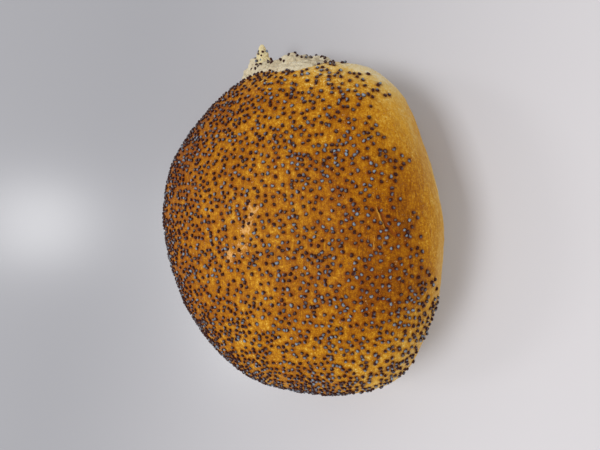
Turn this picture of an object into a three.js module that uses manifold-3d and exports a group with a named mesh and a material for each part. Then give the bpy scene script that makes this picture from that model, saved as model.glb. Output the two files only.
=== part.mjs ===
// A soft white bread roll with a domed golden top, baked beside another one and pulled off it at one end.
// Millimetres, +Z up. The origin is under the middle of the roll, on the surface that it rests on.
// +X is the long way and points to the torn end. -Y is the front, where the shoulder is steeper.
import * as THREE from "three";
import { mergeVertices } from "three/addons/utils/BufferGeometryUtils.js";
import { ImprovedNoise } from "three/addons/math/ImprovedNoise.js";
import Module from "manifold-3d";

const wasm = await Module();
wasm.setup();
const noise = new ImprovedNoise();

// The loaf
const HEIGHT = 45; // table to crown
const BELLY_HEIGHT = 15; // table to the widest contour
const BELLY_DEPTH = 21; // how far the underside would bulge below the belly if it had no tray to lie on
const DOME_FULLNESS = 2.25; // superellipse power above the belly, where 2 is an ellipse
const SIDE_FULLNESS = 2.6; // the same below the belly, where the side tucks in
const CROWN_LEAN = new THREE.Vector2(1, -7); // where the crown is, from over the middle of the belly

// Radius of the widest contour, at equal steps round from +X, seen from above
const BELLY_RADII = [52.5, 50.5, 48.5, 46.4, 45.1, 48.3, 49.9, 53, 46.9, 43, 44.3, 52.7];

// Low lumps that the dough keeps from being shaped: their height and how far apart they are
const LUMP_HEIGHT = 0.9;
const LUMP_SPACING = 19;

// The torn end: a rough face of soft crumb that stands out of the side, under the edge of the crust
const TEAR_MIDDLE = new THREE.Vector3(44, 4, 14.5);
const TEAR_REACH = 12.5; // how far it stands out along X
const TEAR_WIDTH = 37;
const TEAR_HEIGHT = 20;
const TUFT_HEIGHT = 2.6; // torn tufts, and how far apart they are
const TUFT_SPACING = 6;
const GRAIN_HEIGHT = 1.1; // the finer grain between them
const GRAIN_SPACING = 2.7;

// The pointed flap of crust that came away with the crumb
const FLAP_ROOT = new THREE.Vector3(49, 13.5, 14);
const FLAP_LENGTH = 12;
const FLAP_WIDTH = 12;
const FLAP_THICKNESS = 3.4;
const FLAP_TURN = THREE.MathUtils.degToRad(6);
const FLAP_LIFT = THREE.MathUtils.degToRad(-16);

// Detail of the balls that the pieces are shaped from: each has 20 * (detail + 1)^2 triangles
const LOAF_DETAIL = 15;
const TEAR_DETAIL = 9;
const FLAP_DETAIL = 4;

// Smooth noise from -1 to 1 at a point, with its features about one spacing apart.
function noiseAt(point, spacing) {
  return noise.noise(point.x / spacing, point.y / spacing, point.z / spacing);
}

// Radius of the widest contour in direction angle, on a closed Catmull-Rom curve through BELLY_RADII.
function bellyRadius(angle) {
  const count = BELLY_RADII.length;
  const place = ((angle / (2 * Math.PI)) * count + count) % count;
  const first = Math.floor(place);
  const share = place - first;
  const [before, from, to, after] = [-1, 0, 1, 2].map((step) => BELLY_RADII[(first + step + count) % count]);
  const leaving = (to - before) / 2;
  const arriving = (after - from) / 2;
  const square = 3 * (to - from) - 2 * leaving - arriving;
  const cube = leaving + arriving - 2 * (to - from);
  return from + share * (leaving + share * (square + share * cube));
}

// Moves a point of the unit sphere onto the loaf.
function loafPoint(direction) {
  const angle = Math.atan2(direction.y, direction.x);
  const above = direction.z > 0;
  const power = 2 / (above ? DOME_FULLNESS : SIDE_FULLNESS);
  const reach = above ? HEIGHT - BELLY_HEIGHT : BELLY_DEPTH;
  const radius = bellyRadius(angle) * Math.hypot(direction.x, direction.y) ** power;
  const climb = Math.abs(direction.z) ** power;
  const lean = above ? climb * climb : 0;
  const point = new THREE.Vector3(
    radius * Math.cos(angle) + CROWN_LEAN.x * lean,
    radius * Math.sin(angle) + CROWN_LEAN.y * lean,
    BELLY_HEIGHT + Math.sign(direction.z) * reach * climb,
  );
  point.addScaledVector(direction, LUMP_HEIGHT * noiseAt(point, LUMP_SPACING));
  point.z = Math.max(point.z, 0);
  return point;
}

// Moves a point of the unit sphere onto the torn face, which has tufts and a grain.
function tearPoint(direction) {
  const point = new THREE.Vector3(
    TEAR_REACH * direction.x,
    (TEAR_WIDTH / 2) * direction.y,
    (TEAR_HEIGHT / 2) * direction.z,
  ).add(TEAR_MIDDLE);
  const tuft = TUFT_HEIGHT * noiseAt(point, TUFT_SPACING);
  const grain = GRAIN_HEIGHT * noiseAt(point, GRAIN_SPACING);
  return point.addScaledVector(direction, tuft + grain);
}

// Moves a point of the unit sphere onto a tongue that is round at its root and pointed at its tip.
function flapPoint(direction) {
  const along = (direction.x + 1) / 2;
  const taper = Math.sqrt(1 - along);
  return new THREE.Vector3(
    FLAP_LENGTH * along,
    (FLAP_WIDTH / 2) * direction.y * taper,
    (FLAP_THICKNESS / 2) * direction.z * taper,
  )
    .applyAxisAngle(new THREE.Vector3(0, 1, 0), FLAP_LIFT)
    .applyAxisAngle(new THREE.Vector3(0, 0, 1), FLAP_TURN)
    .add(FLAP_ROOT);
}

// A ball of even triangles, each of its points moved by place, as a solid that can be joined.
function shapedBall(detail, place) {
  const ball = new THREE.IcosahedronGeometry(1, detail);
  ball.deleteAttribute("normal");
  ball.deleteAttribute("uv");
  const merged = mergeVertices(ball);
  const positions = merged.attributes.position;
  const direction = new THREE.Vector3();
  for (let i = 0; i < positions.count; i++) {
    direction.fromBufferAttribute(positions, i).normalize();
    const moved = place(direction);
    positions.setXYZ(i, moved.x, moved.y, moved.z);
  }
  return new wasm.Manifold(
    new wasm.Mesh({
      numProp: 3,
      vertProperties: new Float32Array(positions.array),
      triVerts: new Uint32Array(merged.index.array),
    }),
  );
}

// The joined solid as a geometry, moved so that the middle of its outline seen from above is over the origin.
function centredGeometry(solid) {
  const mesh = solid.getMesh();
  const geometry = new THREE.BufferGeometry();
  geometry.setAttribute("position", new THREE.BufferAttribute(mesh.vertProperties, 3));
  geometry.setIndex(new THREE.BufferAttribute(mesh.triVerts, 1));
  geometry.computeBoundingBox();
  const middle = geometry.boundingBox.getCenter(new THREE.Vector3());
  geometry.translate(-middle.x, -middle.y, 0);
  geometry.computeVertexNormals();
  return geometry;
}

const loaf = shapedBall(LOAF_DETAIL, loafPoint);
const torn = shapedBall(TEAR_DETAIL, tearPoint);
const flap = shapedBall(FLAP_DETAIL, flapPoint);

const bakedCrust = new THREE.MeshStandardMaterial({ color: 0xb07424, roughness: 0.5, metalness: 0 });
const roll = new THREE.Mesh(centredGeometry(loaf.add(torn).add(flap)), bakedCrust);
roll.name = "bread_roll";

const part = new THREE.Group();
part.add(roll);
export default part;
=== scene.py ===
import math

import bpy
import numpy as np
from mathutils import Matrix, Vector
from mathutils.kdtree import KDTree


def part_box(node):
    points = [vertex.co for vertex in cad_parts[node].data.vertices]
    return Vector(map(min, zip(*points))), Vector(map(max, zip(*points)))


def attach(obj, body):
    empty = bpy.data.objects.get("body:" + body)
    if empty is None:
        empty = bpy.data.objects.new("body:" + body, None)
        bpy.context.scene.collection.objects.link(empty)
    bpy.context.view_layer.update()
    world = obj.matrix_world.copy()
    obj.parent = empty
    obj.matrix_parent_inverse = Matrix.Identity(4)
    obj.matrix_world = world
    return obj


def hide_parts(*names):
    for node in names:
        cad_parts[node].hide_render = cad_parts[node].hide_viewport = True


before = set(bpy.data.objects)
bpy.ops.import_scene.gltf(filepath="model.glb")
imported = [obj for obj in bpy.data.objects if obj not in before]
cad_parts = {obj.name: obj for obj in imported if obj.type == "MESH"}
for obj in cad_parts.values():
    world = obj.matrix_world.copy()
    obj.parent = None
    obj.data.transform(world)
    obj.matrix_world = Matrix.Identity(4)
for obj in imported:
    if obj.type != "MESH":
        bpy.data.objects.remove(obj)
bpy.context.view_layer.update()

MM = 0.001
low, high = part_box("bread_roll")

# ----------------------------------------------------------------------------------------------------------
# The crust. Soft white dough, proved in one uneven dome, brushed with milk and baked golden: brownest on the
# crown, where painted shade darkens it further, and pale on the front shoulder. At the torn end it stops at a
# ragged edge, round a hollow for crumb.
LOAF_MIDDLE = Vector((high.x - 60.4 * MM, low.y + 42.9 * MM, 0))  # of the loaf without its torn end
BELLY_HEIGHT, DOME_RISE, DOME_FULLNESS = 15 * MM, 30 * MM, 2.25  # the dome, with its superellipse power
HOLLOW_RADIUS = 48.8 * MM  # of the hollow's wall at the belly; the wall follows the dome
TEAR_START = high.x - 22 * MM
TEAR_FOOT = 6 * MM
# The edge of the skin over the tear, as y and z in millimetres, and the small waves that make it ragged
TEAR_EDGE = [(-14.5, 13), (-13, 18), (-10.5, 28), (-5, 32), (2, 29.5), (9.5, 24), (17, 20), (21, 13)]
RAG_DEPTH, SHORT_RAG, LONG_RAG, RAG_SHIFT = 0.8 * MM, 1.1 * MM, 2.7 * MM, 1.3
SKIN_PITCH = 0.57 * MM
# Size, depth and detail of the lumps that the crust has, from the largest down
CRUST_LUMPS = [(11 * MM, 0.9 * MM, 1), (3.2 * MM, 0.3 * MM, 2), (1.3 * MM, 0.12 * MM, 1)]


def alone(piece):
    """Makes piece the only selected object and the active one."""
    bpy.ops.object.select_all(action="DESELECT")
    piece.select_set(True)
    bpy.context.view_layer.objects.active = piece


def finish_with(piece, kind, **settings):
    """Adds a modifier to piece and applies it."""
    alone(piece)
    modifier = piece.modifiers.new(kind.lower(), kind)
    for name, value in settings.items():
        setattr(modifier, name, value)
    bpy.ops.object.modifier_apply(modifier=modifier.name)


def roughen(piece, size, depth, detail=0, pattern="CLOUDS"):
    """Raises and sinks the surface by up to half of depth, in a pattern of that size."""
    texture = bpy.data.textures.new(f"{piece.name}_{pattern.lower()}", pattern)
    texture.noise_scale = size
    if pattern == "CLOUDS":
        texture.noise_depth = detail
    finish_with(piece, "DISPLACE", texture=texture, strength=depth, mid_level=0.5, direction="NORMAL")
    bpy.data.textures.remove(texture)


def places_of(piece):
    """The piece's points as rows of x, y and z."""
    places = np.empty(len(piece.data.vertices) * 3, np.float32)
    piece.data.vertices.foreach_get("co", places)
    return places.reshape(-1, 3).astype(float)


def put_places(piece, places):
    """Moves the piece's points to these rows of x, y and z."""
    piece.data.vertices.foreach_set("co", places.astype(np.float32).ravel())
    piece.data.update()


bpy.ops.object.select_all(action="DESELECT")
crust = bpy.data.objects.new("crust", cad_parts["bread_roll"].data.copy())
bpy.context.scene.collection.objects.link(crust)
alone(crust)
bpy.ops.object.mode_set(mode="EDIT")
bpy.ops.mesh.select_all(action="SELECT")
bpy.ops.mesh.remove_doubles(threshold=0.001 * MM)
bpy.ops.object.mode_set(mode="OBJECT")
finish_with(crust, "SUBSURF", levels=2, render_levels=2)
bpy.ops.object.duplicate()
crumb = bpy.context.object  # shaped in the next section


def push_in(piece, torn):
    """Pushes the torn part of a copy of the roll back to the hollow's wall, or everything but that part."""
    places = places_of(piece)
    x, y, z = places.T
    ragged = RAG_DEPTH * np.sin(y / SHORT_RAG) * np.sin(y / LONG_RAG + RAG_SHIFT)
    edge_y, edge_z = np.array(TEAR_EDGE).T * MM
    edge_height = np.interp(y, edge_y, edge_z, left=0, right=0) + ragged
    inside = (x > TEAR_START) & (z < edge_height) & (z > TEAR_FOOT)
    climb = ((z - BELLY_HEIGHT) / DOME_RISE).clip(0, 1)
    wall = HOLLOW_RADIUS * (1 - climb**DOME_FULLNESS) ** (1 / DOME_FULLNESS)
    middle = np.array(LOAF_MIDDLE)[:2]
    outward = places[:, :2] - middle
    distance = np.hypot(outward[:, 0], outward[:, 1])
    pushed = (inside == torn) & (distance > wall)
    places[pushed, :2] = middle + outward[pushed] * (wall[pushed] / distance[pushed])[:, None]
    put_places(piece, places)


push_in(crust, torn=True)
finish_with(crust, "REMESH", mode="VOXEL", voxel_size=SKIN_PITCH)
finish_with(crust, "SMOOTH", factor=0.5, iterations=8)
for size, depth, detail in CRUST_LUMPS:
    roughen(crust, size, depth, detail)
places = places_of(crust)
places[:, 2] = np.maximum(places[:, 2], 0)  # the underside lies flat
put_places(crust, places)
alone(crust)
bpy.ops.object.shade_smooth()


class Socket:
    """One output of a node. Arithmetic on it adds Math nodes to the same finish."""

    def __init__(self, finish, output):
        self.finish = finish
        self.output = output

    def maths(self, operation, first, second=0.0):
        return self.finish.node("Math", {"operation": operation}, {0: first, 1: second})

    def __add__(self, other):
        return self.maths("ADD", self, other)

    def __sub__(self, other):
        return self.maths("SUBTRACT", self, other)

    def __rsub__(self, other):
        return self.maths("SUBTRACT", other, self)

    def __mul__(self, other):
        return self.maths("MULTIPLY", self, other)

    def __abs__(self):
        return self.maths("ABSOLUTE", self)

    __radd__ = __add__
    __rmul__ = __mul__

    def at_least(self, least):
        return self.maths("MAXIMUM", self, least)

    def between(self, start, end):
        """0 before start, 1 after end and a smooth step between."""
        settings = {"interpolation_type": "SMOOTHSTEP"}
        return self.finish.node("MapRange", settings, {"Value": self, "From Min": start, "From Max": end})


class Finish:
    """A material, or another thing with a node tree, with one method for every kind of node."""

    def __init__(self, name, owner=bpy.data.materials, shader="Principled BSDF", **constants):
        self.made = owner.new(name)
        self.made.use_nodes = True
        self.tree = self.made.node_tree
        self.shader = self.tree.nodes[shader]
        for socket, value in constants.items():
            self.shader.inputs[socket.replace("_", " ")].default_value = value
        self.place = self.node("TexCoord", {}, {}, "Object")

    def put(self, socket, value):
        """Links a Socket, or sets a plain value."""
        if isinstance(value, Socket):
            self.tree.links.new(value.output, socket)
        else:
            socket.default_value = value

    def node(self, kind, settings, sockets, output=0):
        """Adds any node: its settings first, then the values or links of its sockets."""
        made = self.tree.nodes.new("ShaderNode" + kind)
        for name, value in settings.items():
            if name == "stops":
                while len(made.color_ramp.elements) < len(value):
                    made.color_ramp.elements.new(0.5)
                for element, (position, tint) in zip(made.color_ramp.elements, value):
                    element.position = position
                    element.color = tint
            else:
                setattr(made, name, value)
        for name, value in sockets.items():
            self.put(made.inputs[name], value)
        return Socket(self, made.outputs[output])

    def axis(self, letter, place=None):
        """One coordinate of place, or of the piece's own place."""
        return self.node("SeparateXYZ", {}, {0: place or self.place}, letter)

    def noise(self, size, detail=2.0, stretch=(1, 1, 1)):
        """Clouds from -0.5 to 0.5, with features of about that size, longer where they are stretched."""
        scale = tuple(1 / (size * longer) for longer in stretch)
        place = self.node("VectorMath", {"operation": "MULTIPLY"}, {0: self.place, 1: scale})
        return self.node("TexNoise", {}, {"Vector": place, "Scale": 1.0, "Detail": detail}) - 0.5

    def near(self, middle, size):
        """1 at middle and 0 outside an ellipsoid of that size round it."""
        offset = self.node("VectorMath", {"operation": "SUBTRACT"}, {0: self.place, 1: middle})
        scaled = self.node("VectorMath", {"operation": "DIVIDE"}, {0: offset, 1: size})
        return 1 - self.node("VectorMath", {"operation": "LENGTH"}, {0: scaled}, "Value").between(0, 1)

    def blend(self, share, first, second):
        """Colour first where share is 0 and second where it is 1."""
        return self.node("Mix", {"data_type": "RGBA"}, {0: share, 6: first, 7: second}, 2)

    def wear(self, tint, roughness=None, bumps=()):
        """Gives the shader its colour, its roughness and a chain of (height, depth) bumps."""
        self.put(self.shader.inputs["Base Color"], tint)
        if roughness is not None:
            self.put(self.shader.inputs["Roughness"], roughness)
        normal = None
        for height, depth in bumps:
            sockets = {"Height": height, "Distance": depth, "Strength": 1.0}
            if normal is not None:
                sockets["Normal"] = normal
            normal = self.node("Bump", {}, sockets)
        if normal is not None:
            self.put(self.shader.inputs["Normal"], normal)


def mm(x, y, z):
    """A place or a size that is given in millimetres."""
    return Vector((x, y, z)) * MM


def colour(red, green, blue):
    """A colour as it is seen on a screen, 0 to 255, as the linear one that shaders use."""

    def linear(value):
        value /= 255
        return value / 12.92 if value <= 0.04045 else ((value + 0.055) / 1.055) ** 2.4

    return (linear(red), linear(green), linear(blue), 1)


# Baked colours, from unbaked dough to the brownest crown; the darkest of them also serve for painted shade.
BAKES = [
    (0.0, colour(232, 220, 184)),
    (0.15, colour(224, 188, 104)),
    (0.3, colour(210, 156, 50)),
    (0.45, colour(191, 130, 22)),
    (0.6, colour(171, 107, 8)),
    (0.8, colour(146, 83, 3)),
    (1.0, colour(114, 58, 2)),
]
USUAL_BAKE = 0.62
PALEST_BAKE = 0.06
BASE_BROWN = colour(178, 124, 52)
PEELED_SKIN = colour(230, 176, 108)
# Brown for the oil stains, and for the painted shade round the seeds and in the crease
STAIN_AND_SHADE_BROWN = colour(122, 50, 8)
# Gold for the wrinkles, and for the painted highlight on the crease's ridge
WRINKLE_GOLD_AND_HIGHLIGHT = colour(222, 158, 62)
BLISTERS = [mm(0.4, 4.2, 44), mm(-4.1, 6.2, 44), mm(-9.1, 7.8, 44), mm(-11, 11.4, 43)]
BLISTER_SIZE = mm(4.2, 3.2, 5)  # where the skin flaked off
CREASE_MIDDLE = mm(-2.7, -29.8, 42)
CREASE_TURN = math.radians(28)
CREASE_LENGTH = 9 * MM
CREASE_BOW = 0.6 * MM

crust_finish = Finish("baked_crust", Specular_IOR_Level=0.2, Specular_Tint=(1, 0.78, 0.4, 1))
along = crust_finish.axis("X")
across = crust_finish.axis("Y")
height = crust_finish.axis("Z")
front = 0 - across
clouds = crust_finish.noise(14 * MM, 2)
mottle = crust_finish.noise(2.2 * MM, 3)
grain = crust_finish.noise(0.8 * MM, 2)
speckle = crust_finish.noise(0.35 * MM, 1)
streaks = crust_finish.noise(0.5 * MM, 2, stretch=(7, 1, 1))

# Where the crust is browner or paler than usual, and where painted shade darkens it.
# The crown: browner baking over the top of the dome, darkened further there with painted shade.
crown = crust_finish.near(mm(-8, -29, 41), mm(36, 25, 24))
# The far flank: browner baking, darkened further with painted shade.
far_flank_browning_and_shade = crust_finish.near(mm(28, 26, 28), mm(32, 26, 26))
# Painted shade: the whole side towards the window is coloured darker, by this share.
back = across.between(12 * MM, 42 * MM)
low_end = (0 - along).between(20 * MM, 55 * MM)
foot = 1 - (height + clouds * (6 * MM)).between(5 * MM, 18 * MM)
low_front = front.between(24 * MM, 40 * MM) * (1 - height.between(14 * MM, 24 * MM))
below_dome = 1 - (height + clouds * (8 * MM)).between(27 * MM, 40 * MM)
shoulder = front.between(12 * MM, 30 * MM) * below_dome * (1 - 0.5 * along.between(0, 16 * MM))
bare_side = crust_finish.near(mm(23, -33, 32), mm(30, 17, 22))
pale_patch = crust_finish.near(mm(6, -42.5, 19), mm(17, 8, 11))
torn_side = (along + clouds * (10 * MM)).between(24 * MM, 43 * MM)
torn_front = torn_side * front.between(-8 * MM, 14 * MM)
cream_corner = crust_finish.near(mm(44, -22, 20), mm(10, 10, 16))
lip = along.between(33 * MM, 46 * MM)
# The bake carries painted shade too: on the crown, the far flank and the side towards the window.
bake = (
    USUAL_BAKE
    + 0.24 * crown
    + 0.2 * far_flank_browning_and_shade
    + 0.12 * back
    - 0.33 * shoulder
    - 0.05 * torn_side
    - 0.28 * torn_front
    - 0.2 * cream_corner
    - 0.11 * low_end
    - 0.2 * foot
    - 0.12 * low_front
    - 0.2 * bare_side
    - 0.2 * pale_patch
    - 0.17 * lip
).at_least(PALEST_BAKE)
variation = clouds * 0.5 + mottle * 0.55 + grain * 0.85 + speckle * 0.7 + streaks * 0.45
unevenness = (1 - 0.4 * shoulder - 0.35 * bare_side) * (0.35 + 0.65 * bake.between(0.1, 0.5))
skin = crust_finish.node("ValToRGB", {"stops": BAKES}, {0: bake + variation * unevenness})

# Oil stains round the seeds, with painted shade where each seed sits in the crust, then the places where
# the skin flaked and its small pale flecks.
stain = crust_finish.node("Attribute", {"attribute_name": "stain"}, {}, "Fac")
skin = crust_finish.blend(stain * (0.75 + mottle), skin, STAIN_AND_SHADE_BROWN)
blistered = sum(crust_finish.near(middle, BLISTER_SIZE) for middle in BLISTERS)
peeled = (blistered + mottle * 1.8 + grain * 2.4 + speckle * 1.6).between(0.45, 1.15)
flecks = (speckle + grain * 0.6).between(0.2, 0.34)
skin = crust_finish.blend((peeled * 0.62 + flecks * 0.25).between(0, 1), skin, PEELED_SKIN)

# The crease, a bowed fold with a painted highlight on its golden ridge and painted shade on its dark side,
# and the fine wrinkles beside it.
turned = crust_finish.node(
    "Mapping",
    {"vector_type": "TEXTURE"},
    {"Vector": crust_finish.place, "Location": CREASE_MIDDLE, "Rotation": (0, 0, CREASE_TURN)},
)
fold_along = crust_finish.axis("X", turned)
fold_bow = CREASE_BOW - fold_along * fold_along * (0.03 / MM)
fold_across = crust_finish.axis("Y", turned) + mottle * (0.9 * MM) - fold_bow
fold_ends = 1 - abs(fold_along).between(CREASE_LENGTH * 0.4, CREASE_LENGTH * 0.52)
fold_line = 1 - abs(fold_across).between(0.08 * MM, 0.34 * MM)
fold_ridge_highlight = fold_line * fold_ends * fold_along.between(-3 * MM, 1 * MM)
fold_shade = (1 - abs(fold_across + 0.6 * MM).between(0.1 * MM, 0.7 * MM)) * fold_ends
wrinkles = streaks.between(0.06, 0.2) * crust_finish.near(mm(-7, -28, 42), mm(8, 5, 6))
# Painted highlight along the ridge, in gold, and painted shade beside it, in the stain's brown.
skin = crust_finish.blend(fold_ridge_highlight * 0.7 + wrinkles * 0.6, skin, WRINKLE_GOLD_AND_HIGHLIGHT)
skin = crust_finish.blend(fold_shade * 0.7, skin, STAIN_AND_SHADE_BROWN)

skin = crust_finish.blend(height.between(0.4 * MM, 1.4 * MM), BASE_BROWN, skin)
relief = mottle + streaks * 0.4
crust_finish.wear(
    skin,
    roughness=0.55 + mottle * 0.25,
    bumps=[(relief, 0.3 * MM), (grain + speckle * 0.6, 0.12 * MM), (fold_ridge_highlight - fold_shade, 0.25 * MM)],
)
crust.data.materials.clear()
crust.data.materials.append(crust_finish.made)
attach(crust, "root")
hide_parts("bread_roll")

# ----------------------------------------------------------------------------------------------------------
# The torn crumb. Where the next roll was pulled away, the soft white inside stands out of the hollow in
# tufts, with the small uneven holes that the yeast made.
CRUMB_PITCH = 0.3 * MM
CRUMB_START = TEAR_START + 4 * MM  # inside the crust
CRUMB_REACH = high.x - 4.6 * MM
CRUMB_FOOT = 3 * MM  # inside the crust, which is shut below the tear
DIP_DEPTH, DIP_PLACE, DIP_WIDTH = 2.2 * MM, 6.5 * MM, 2.5 * MM  # the tuft is lower here, beside the flap
CRUMB_TUFTS = [(5 * MM, 2.6 * MM, 1), (2.2 * MM, 1.3 * MM, 1)]
YEAST_HOLES = (1.6 * MM, -0.25 * MM)
CRUMB_GRAIN = (0.8 * MM, 0.1 * MM, 1)

crumb.name = "torn_crumb"
alone(crumb)
push_in(crumb, torn=False)
places = places_of(crumb)
sunk = DIP_DEPTH * np.exp(-(((places[:, 1] - DIP_PLACE) / DIP_WIDTH) ** 2))
places[:, 0] = np.minimum(places[:, 0], CRUMB_REACH - sunk)
places[:, 2] = np.maximum(places[:, 2], CRUMB_FOOT)
put_places(crumb, places)
bpy.ops.object.mode_set(mode="EDIT")
bpy.ops.mesh.select_all(action="SELECT")
bpy.ops.mesh.bisect(plane_co=(CRUMB_START, 0, 0), plane_no=(1, 0, 0), use_fill=True, clear_inner=True)
bpy.ops.object.mode_set(mode="OBJECT")
finish_with(crumb, "REMESH", mode="VOXEL", voxel_size=CRUMB_PITCH)
finish_with(crumb, "SMOOTH", factor=0.5, iterations=8)
for size, depth, detail in CRUMB_TUFTS:
    roughen(crumb, size, depth, detail)
roughen(crumb, *YEAST_HOLES, pattern="VORONOI")
roughen(crumb, *CRUMB_GRAIN)
alone(crumb)
bpy.ops.object.shade_smooth()


def crumb_look(name, hole_shade, body, dry):
    """Torn crumb's finish, with the colours of the painted shade in its pores, its body and its driest tufts.
    """
    finish = Finish(name, Roughness=0.85, Specular_IOR_Level=0.2, Subsurface_Weight=0.12)
    finish.shader.inputs["Subsurface Radius"].default_value = mm(1.2, 0.9, 0.6)
    pores = finish.noise(1.0 * MM, 3)
    patches = finish.noise(4.5 * MM, 2)
    fibres = finish.noise(0.4 * MM, 2, stretch=(4, 1, 1))
    dough = finish.blend((patches + 0.5 + pores * 0.6).between(0.25, 0.75), body, dry)
    # Painted shade: the low places of the pores are coloured darker.
    painted_hole_shade = 1 - (pores + fibres * 0.4).between(-0.32, -0.08)
    finish.wear(finish.blend(painted_hole_shade, dough, hole_shade), bumps=[(pores, 0.3 * MM), (fibres, 0.12 * MM)])
    return finish.made


soft_crumb = crumb_look("soft_crumb", colour(150, 130, 98), colour(190, 175, 145), colour(212, 200, 172))
crumb.data.materials.clear()
crumb.data.materials.append(soft_crumb)
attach(crumb, "root")
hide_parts("bread_roll")

# ----------------------------------------------------------------------------------------------------------
# The torn flap. A tongue of crumb and thin pale skin that was pulled out with the next roll and dried where
# it stands, wide where it comes out of the crumb and pointed at its free end.
FLAP_ROOT = Vector((high.x - 8.8 * MM, low.y + 56.3 * MM, 15 * MM))
FLAP_SIZE = mm(5, 12, 4.6)
FLAP_STEPS = [  # each length of the tongue, and how much narrower it ends
    (mm(1.9, 0, 0.4), 0.76),
    (mm(1.6, 0.1, 0.4), 0.76),
    (mm(1.6, 0, 0.3), 0.7),
    (mm(1.8, 0, 0.2), 0.58),
]
FLAP_LUMPS = [(3 * MM, 0.9 * MM, 1), (1.1 * MM, 0.35 * MM, 2), (0.6 * MM, 0.2 * MM, 1)]

bpy.ops.object.select_all(action="DESELECT")
bpy.ops.mesh.primitive_cube_add(size=1)
flap = bpy.context.object
flap.name = "torn_flap"
bpy.ops.object.mode_set(mode="EDIT")
bpy.ops.mesh.select_all(action="SELECT")
bpy.ops.transform.resize(value=FLAP_SIZE)
bpy.ops.transform.translate(value=FLAP_ROOT)
bpy.ops.object.mode_set(mode="OBJECT")
for face in flap.data.polygons:
    face.select = face.normal.x > 0.9
for edge in flap.data.edges:
    edge.select = False
bpy.ops.object.mode_set(mode="EDIT")
bpy.ops.mesh.select_mode(type="FACE")
flap_end = FLAP_ROOT + Vector((FLAP_SIZE.x / 2, 0, 0))
for going, narrower in FLAP_STEPS:
    bpy.ops.mesh.extrude_region_move(TRANSFORM_OT_translate={"value": going})
    flap_end = flap_end + going
    bpy.ops.transform.resize(value=(1, narrower, narrower**0.5), center_override=flap_end)
bpy.ops.mesh.select_all(action="SELECT")
bpy.ops.mesh.normals_make_consistent(inside=False)
bpy.ops.object.mode_set(mode="OBJECT")
finish_with(flap, "SUBSURF", levels=5, render_levels=5)
for size, depth, detail in FLAP_LUMPS:
    roughen(flap, size, depth, detail)
alone(flap)
bpy.ops.object.shade_smooth()
dry_flap = crumb_look("dry_flap", colour(160, 138, 92), colour(202, 186, 146), colour(226, 208, 158))
flap.data.materials.append(dry_flap)
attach(flap, "root")
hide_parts("bread_roll")

# ----------------------------------------------------------------------------------------------------------
# The poppy seeds. Small kidney-shaped seeds, nearly black with a blue-grey bloom, that the damp dough was
# pressed into before it was baked. The bloom lies mostly on each seed's outer side, where it is a painted
# highlight as well. They lie thick over the dome and leave the front side bare, and a few cling to the torn
# crumb. The oil that baked out of each seed stains the crust round it, with painted shade where they meet.
SEED_LENGTH, SEED_WIDTH, SEED_THICKNESS = 1.08 * MM, 0.9 * MM, 0.8 * MM
SEED_BEND = 0.14 * SEED_WIDTH
NOTCH_DEPTH, NOTCH_WIDTH = 0.12 * SEED_WIDTH, 0.16 * SEED_LENGTH
SEED_SINK = 0.25  # how much of its thickness is in the crust
SEED_TRIES = 1.1 / MM**2  # places that are tried, for each area
SEED_SPACING, SEED_SPREAD = 1.35 * MM, 0.2 * MM
CLUMP_SPACING, CLUMP_SHARE = 0.8 * MM, 0.1  # how close some seeds stick together, and how many do
MAP_MARGIN = 0.08  # round each seed, in its own square of the map
CELL_SIZE = 1.7 * MM  # of the grid in which a seed's neighbours are looked up
TEAR_FACE = high.x - 10.5 * MM  # what stands further out than this is crumb, and not skin
# Round each seed: an oil stain, and painted shade where the seed meets the crust
STAIN_SHADE_START, STAIN_SHADE_END = 0.4 * MM, 1.25 * MM

bpy.ops.object.select_all(action="DESELECT")
bpy.ops.mesh.primitive_uv_sphere_add(segments=8, ring_count=6, radius=0.5)
kernel = bpy.context.object
bpy.ops.object.mode_set(mode="EDIT")
bpy.ops.mesh.select_all(action="SELECT")
bpy.ops.transform.rotate(value=math.pi / 2, orient_axis="Y", center_override=(0, 0, 0))
bpy.ops.transform.resize(value=(SEED_LENGTH, SEED_WIDTH, SEED_THICKNESS))
bpy.ops.object.mode_set(mode="OBJECT")
kernel_places = places_of(kernel)
kernel_outward = kernel_places / np.linalg.norm(kernel_places, axis=1)[:, None]
bend = (kernel_places[:, 0] / SEED_LENGTH * 2) ** 2
kernel_places[:, 1] += SEED_BEND * (bend - 0.5)
notch = np.exp(-((kernel_places[:, 0] / NOTCH_WIDTH) ** 2)) * (kernel_places[:, 1] > 0)
kernel_places[:, 1] -= NOTCH_DEPTH * notch
kernel_corners = kernel.data.uv_layers.active.data
kernel_sides = sorted(  # because the sphere's faces come in another order each time
    [(point, tuple(kernel_corners[i].uv)) for point, i in zip(face.vertices, face.loop_indices)]
    for face in kernel.data.polygons
)
kernel_faces = [[point for point, spot in side] for side in kernel_sides]
kernel_map = np.array([spot for side in kernel_sides for point, spot in side])
bpy.data.objects.remove(kernel)

chance = np.random.default_rng(7)


def step(values, start, end):
    """0 before start, 1 after end and a smooth step between."""
    share = np.clip((values - start) / (end - start), 0, 1)
    return share * share * (3 - 2 * share)


def spots_on(piece, tries_per_area):
    """Random places all over a piece made of four-sided faces, and which way out is there."""
    corners = np.empty(len(piece.data.loops), np.int32)
    piece.data.loops.foreach_get("vertex_index", corners)
    first, second, third, fourth = places_of(piece)[corners.reshape(-1, 4)].transpose(1, 0, 2)
    outward = np.cross(third - first, fourth - second) / 2
    areas = np.linalg.norm(outward, axis=1)
    tries = int(areas.sum() * tries_per_area)
    chosen = chance.choice(len(areas), tries, p=areas / areas.sum())
    u, v = chance.random((2, tries, 1))
    near_side = (1 - v) * first[chosen] + v * fourth[chosen]
    far_side = (1 - v) * second[chosen] + v * third[chosen]
    return (1 - u) * near_side + u * far_side, outward[chosen] / areas[chosen, None]


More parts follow.
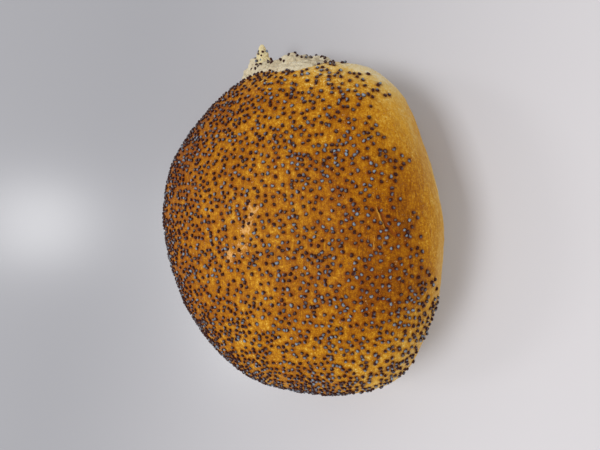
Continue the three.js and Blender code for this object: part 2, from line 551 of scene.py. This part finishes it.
def crowding(x, y, z):
    """How close seeds slid together, from 0 on the crown to 1 on a steep side at the back and the low end."""
    calm = (1 - step(x, 18 * MM, 36 * MM)) * (1 - 0.6 * step(-y, 12 * MM, 30 * MM))
    return (1 - step(z, 25 * MM, 43 * MM)) * calm


def crust_share(x, y, z):
    """How likely a seed stays where it is tried on the crust, 0 to 1."""
    # The front side is bare below a wavy line, which is higher in the middle than at the ends.
    bare_below = (24 + 13.5 * step(x, -26 * MM, -6 * MM) - 8 * step(x, 24 * MM, 40 * MM)) * MM
    bare_below = bare_below + 1.4 * MM * np.sin(x / (3.1 * MM)) + 0.8 * MM * np.sin(x / (1.3 * MM))
    bare = step(-y, 10 * MM, 20 * MM) * (1 - step(z - bare_below, -1.5 * MM, 3 * MM))
    # They lie thinner on the front shoulder and at the front of the torn end, and everywhere in drifts.
    thin = 0.35 * step(-y, 15 * MM, 34 * MM) + 0.55 * step(x, 26 * MM, 38 * MM) * step(-y, -4 * MM, 16 * MM)
    drifts = 0.7 + 0.25 * np.sin(x / (2.9 * MM) + 2 * np.sin(y / (6.1 * MM))) * np.sin(y / (2.3 * MM))
    drifts = drifts + 0.3 * crowding(x, y, z)
    on_skin = step(z, 8 * MM, 16 * MM) * (x < TEAR_FACE)
    return (1 - bare) * (1 - thin).clip(0, 1) * drifts.clip(0, 1) * on_skin


def crumb_share(x, y, z):
    """The same on the crumb: along the rim of what stands out."""
    return 0.26 * (x > high.x - 9 * MM) * step(z, 15 * MM, 16 * MM) * (z < 20.5 * MM)


def flap_share(x, y, z):
    """The same on the flap: on its upper side, but not at its point."""
    return 0.5 * (x > high.x - 8 * MM) * (x < high.x - 1.8 * MM) * (z > 14 * MM)


tried = []
for piece, share in ((crust, crust_share), (crumb, crumb_share), (flap, flap_share)):
    spots, outward = spots_on(piece, SEED_TRIES)
    room = chance.normal(SEED_SPACING, SEED_SPREAD, len(spots))
    if piece is crust:
        room *= 1 - 0.3 * crowding(*spots.T)
    room[chance.random(len(spots)) < CLUMP_SHARE] = CLUMP_SPACING
    steepest = np.where(spots[:, 0] > TEAR_FACE - 8 * MM, 0.25, -0.3)
    lucky = (chance.random(len(spots)) < share(*spots.T)) & (outward[:, 2] > steepest)
    tried.append((spots[lucky], outward[lucky], room[lucky]))
spots, outward, spacing = (np.concatenate(parts) for parts in zip(*tried))
kept = []
cells = {}
for number, (spot, room) in enumerate(zip(spots, spacing)):
    cell = tuple((spot // CELL_SIZE).astype(int))
    around = [
        other
        for i in (-1, 0, 1)
        for j in (-1, 0, 1)
        for k in (-1, 0, 1)
        for other in cells.get((cell[0] + i, cell[1] + j, cell[2] + k), ())
    ]
    if all(math.dist(spot, spots[other]) > room for other in around):
        cells.setdefault(cell, []).append(number)
        kept.append(number)
spots, outward = spots[kept], outward[kept]

# Each seed's luck says which kind it is: more slate ones towards the front, where their paler bloom is a
# painted reflection of the bright room on that side, and fewer at the tear.
luck = chance.random(len(spots)) + 0.3 * step(-spots[:, 1], -10 * MM, 25 * MM) - 0.15
luck -= 0.15 * step(spots[:, 0], 15 * MM, 35 * MM)
turns = chance.random(len(spots)) * 2 * math.pi
sizes = chance.normal(1.0, 0.08, len(spots)).clip(0.8, 1.2)
tilts = chance.normal(0, 0.25, (len(spots), 2))
# The bloom sits mostly on each seed's outer side, and there it is a painted highlight as well.
bloom_and_highlight_sides = chance.normal(0, 0.6, (len(spots), 3)) + (0, 0, 0.9)
bloom_and_highlight_sides /= np.linalg.norm(bloom_and_highlight_sides, axis=1)[:, None]
shades = chance.random(len(spots))


def scatter(name, chosen, bloom_and_highlight_start, bloom_and_highlight_end):
    """Joins one seed at each chosen spot into one mesh, and marks its pale coat, also a painted highlight."""
    all_places, all_faces, all_map, all_bloom_and_highlight = [], [], [], []
    rows = math.ceil(math.sqrt(len(chosen)))  # of squares in the map
    for number, i in enumerate(chosen):
        lean = Matrix.Rotation(tilts[i, 0], 3, "X") @ Matrix.Rotation(tilts[i, 1], 3, "Y")
        turn = Matrix.Rotation(turns[i], 3, "Z") @ lean
        stand = np.array(Vector(outward[i]).to_track_quat("Z", "Y").to_matrix() @ turn)
        middle = spots[i] + outward[i] * SEED_THICKNESS * (0.5 - SEED_SINK)
        start = number * len(kernel_places)
        all_places.append(kernel_places @ stand.T * sizes[i] + middle)
        all_faces += [[start + corner for corner in face] for face in kernel_faces]
        square = kernel_map * (1 - 2 * MAP_MARGIN) + MAP_MARGIN + (number % rows, number // rows)
        all_map.append(square / rows)
        facing = (kernel_outward @ np.array(turn).T) @ bloom_and_highlight_sides[i]
        all_bloom_and_highlight.append(step(facing, bloom_and_highlight_start, bloom_and_highlight_end) * (0.35 + 0.65 * shades[i]))
    mesh = bpy.data.meshes.new(name)
    mesh.from_pydata(np.concatenate(all_places).tolist(), [], all_faces)
    mesh.uv_layers.new(name="OFBake").data.foreach_set("uv", np.concatenate(all_map).ravel())
    mesh.attributes.new("bloom", "FLOAT", "POINT").data.foreach_set("value", np.concatenate(all_bloom_and_highlight))
    piece = bpy.data.objects.new(name, mesh)
    bpy.context.scene.collection.objects.link(piece)
    alone(piece)
    bpy.ops.object.shade_smooth()
    return piece


# For each kind: the least and the most luck, where the bloom and painted highlight start and end, the bare
# tone and the tone of the bloom and highlight
SEED_KINDS = {
    "dark_seeds": (-1, 0.45, 0.2, 1.0, colour(58, 23, 17), colour(114, 106, 103)),
    "slate_seeds": (0.45, 2, -0.1, 0.9, colour(58, 24, 22), colour(136, 148, 160)),
}
PIT_SIZE, PIT_DEPTH = 0.16 * MM, 0.02 * MM
for name, (least, most, bloom_and_highlight_start, bloom_and_highlight_end, bare_tone, bloom_and_highlight_tone) in SEED_KINDS.items():
    seeds = scatter(name, np.flatnonzero((luck >= least) & (luck < most)), bloom_and_highlight_start, bloom_and_highlight_end)
    seed_finish = Finish(name, Roughness=0.55, Specular_IOR_Level=0.15)
    bloom = seed_finish.node("Attribute", {"attribute_name": "bloom"}, {}, "Fac")
    dusty_and_highlit = (bloom + seed_finish.noise(0.3 * MM, 2) * 0.5).between(0, 1)
    pit_sockets = {"Vector": seed_finish.place, "Scale": 1 / PIT_SIZE}
    pits = seed_finish.node("TexVoronoi", {"feature": "DISTANCE_TO_EDGE"}, pit_sockets).between(0, 0.2)
    seed_finish.wear(seed_finish.blend(dusty_and_highlit, bare_tone, bloom_and_highlight_tone), bumps=[(pits, PIT_DEPTH)])
    seeds.data.materials.append(seed_finish.made)
    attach(seeds, "root")
    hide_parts("bread_roll")

# The stain round each seed also paints the shade where the seed meets the crust.
nearest = KDTree(len(spots))
for number, spot in enumerate(spots):
    nearest.insert(spot, number)
nearest.balance()
away = np.array([nearest.find(place)[2] for place in places_of(crust)])
stained_and_shaded = 1 - step(away, STAIN_SHADE_START, STAIN_SHADE_END)
crust.data.attributes.new("stain", "FLOAT", "POINT").data.foreach_set("value", stained_and_shaded)

# ----------------------------------------------------------------------------------------------------------
# The table, the lights and the camera. A pale matt board in a soft room: the walls are bright, the ceiling
# over the board is dimmer, and a window stands to one side.
LIT_BOARD, SHADED_BOARD = colour(215, 211, 213), colour(158, 157, 161)
FRONT_WALL, BACK_WALL, CEILING = (0.79, 0.76, 0.73, 1), (0.66, 0.65, 0.65, 1), (0.5, 0.5, 0.52, 1)
CAMERA_PLACE = mm(-3.36, -38.32, 155)
CAMERA_TILT = math.radians(15)

bpy.ops.object.select_all(action="DESELECT")
bpy.ops.mesh.primitive_plane_add(size=3)
table = bpy.context.object
table.name = "table"
table_finish = Finish("pale_table", Roughness=0.25, Specular_IOR_Level=0.4)
# Painted shade: the board is coloured darker towards the window side and its far end.
painted_shade_part = (table_finish.axis("Y") + table_finish.axis("X") * 0.3).between(-0.12, 0.1)
table_finish.wear(table_finish.blend(painted_shade_part, LIT_BOARD, SHADED_BOARD))
table.data.materials.append(table_finish.made)


def area_light(name, place, width, depth, energy, tint=(1, 1, 1)):
    """A flat lamp that points at the roll."""
    lamp = bpy.data.objects.new(name, bpy.data.lights.new(name, "AREA"))
    bpy.context.scene.collection.objects.link(lamp)
    lamp.location = place
    lamp.rotation_euler = (Vector((0, 0, 0.02)) - place).to_track_quat("-Z", "Y").to_euler()
    lamp.data.shape = "RECTANGLE"
    lamp.data.size = width
    lamp.data.size_y = depth
    lamp.data.energy = energy
    lamp.data.color = tint


area_light("window", Vector((0.0, 0.78, 0.68)), width=0.16, depth=0.16, energy=1.1)
area_light("softbox", Vector((-0.12, 0.36, 0.9)), width=0.44, depth=0.24, energy=5.2, tint=(0.93, 0.975, 1))

room = Finish("soft_room", bpy.data.worlds, "Background")
bpy.context.scene.world = room.made
direction = room.node("TexCoord", {}, {}, "Generated")
walls = room.blend(room.axis("Y", direction).between(-0.8, 0.8), FRONT_WALL, BACK_WALL)
overhead = room.axis("Z", direction).between(0.5, 0.98)
room.put(room.shader.inputs["Color"], room.blend(overhead, walls, CEILING))

camera = bpy.data.objects.new("camera", bpy.data.cameras.new("camera"))
bpy.context.scene.collection.objects.link(camera)
right = Vector((0, -math.cos(CAMERA_TILT), -math.sin(CAMERA_TILT)))
above = Vector((1, 0, 0))
camera_turn = Matrix((right, above, right.cross(above))).transposed().to_4x4()
camera.matrix_world = Matrix.Translation(CAMERA_PLACE) @ camera_turn
camera.data.lens = 27
camera.data.sensor_width = 36
camera.data.clip_start = 0.01
bpy.context.scene.camera = camera
bpy.context.scene.view_settings.view_transform = "Standard"
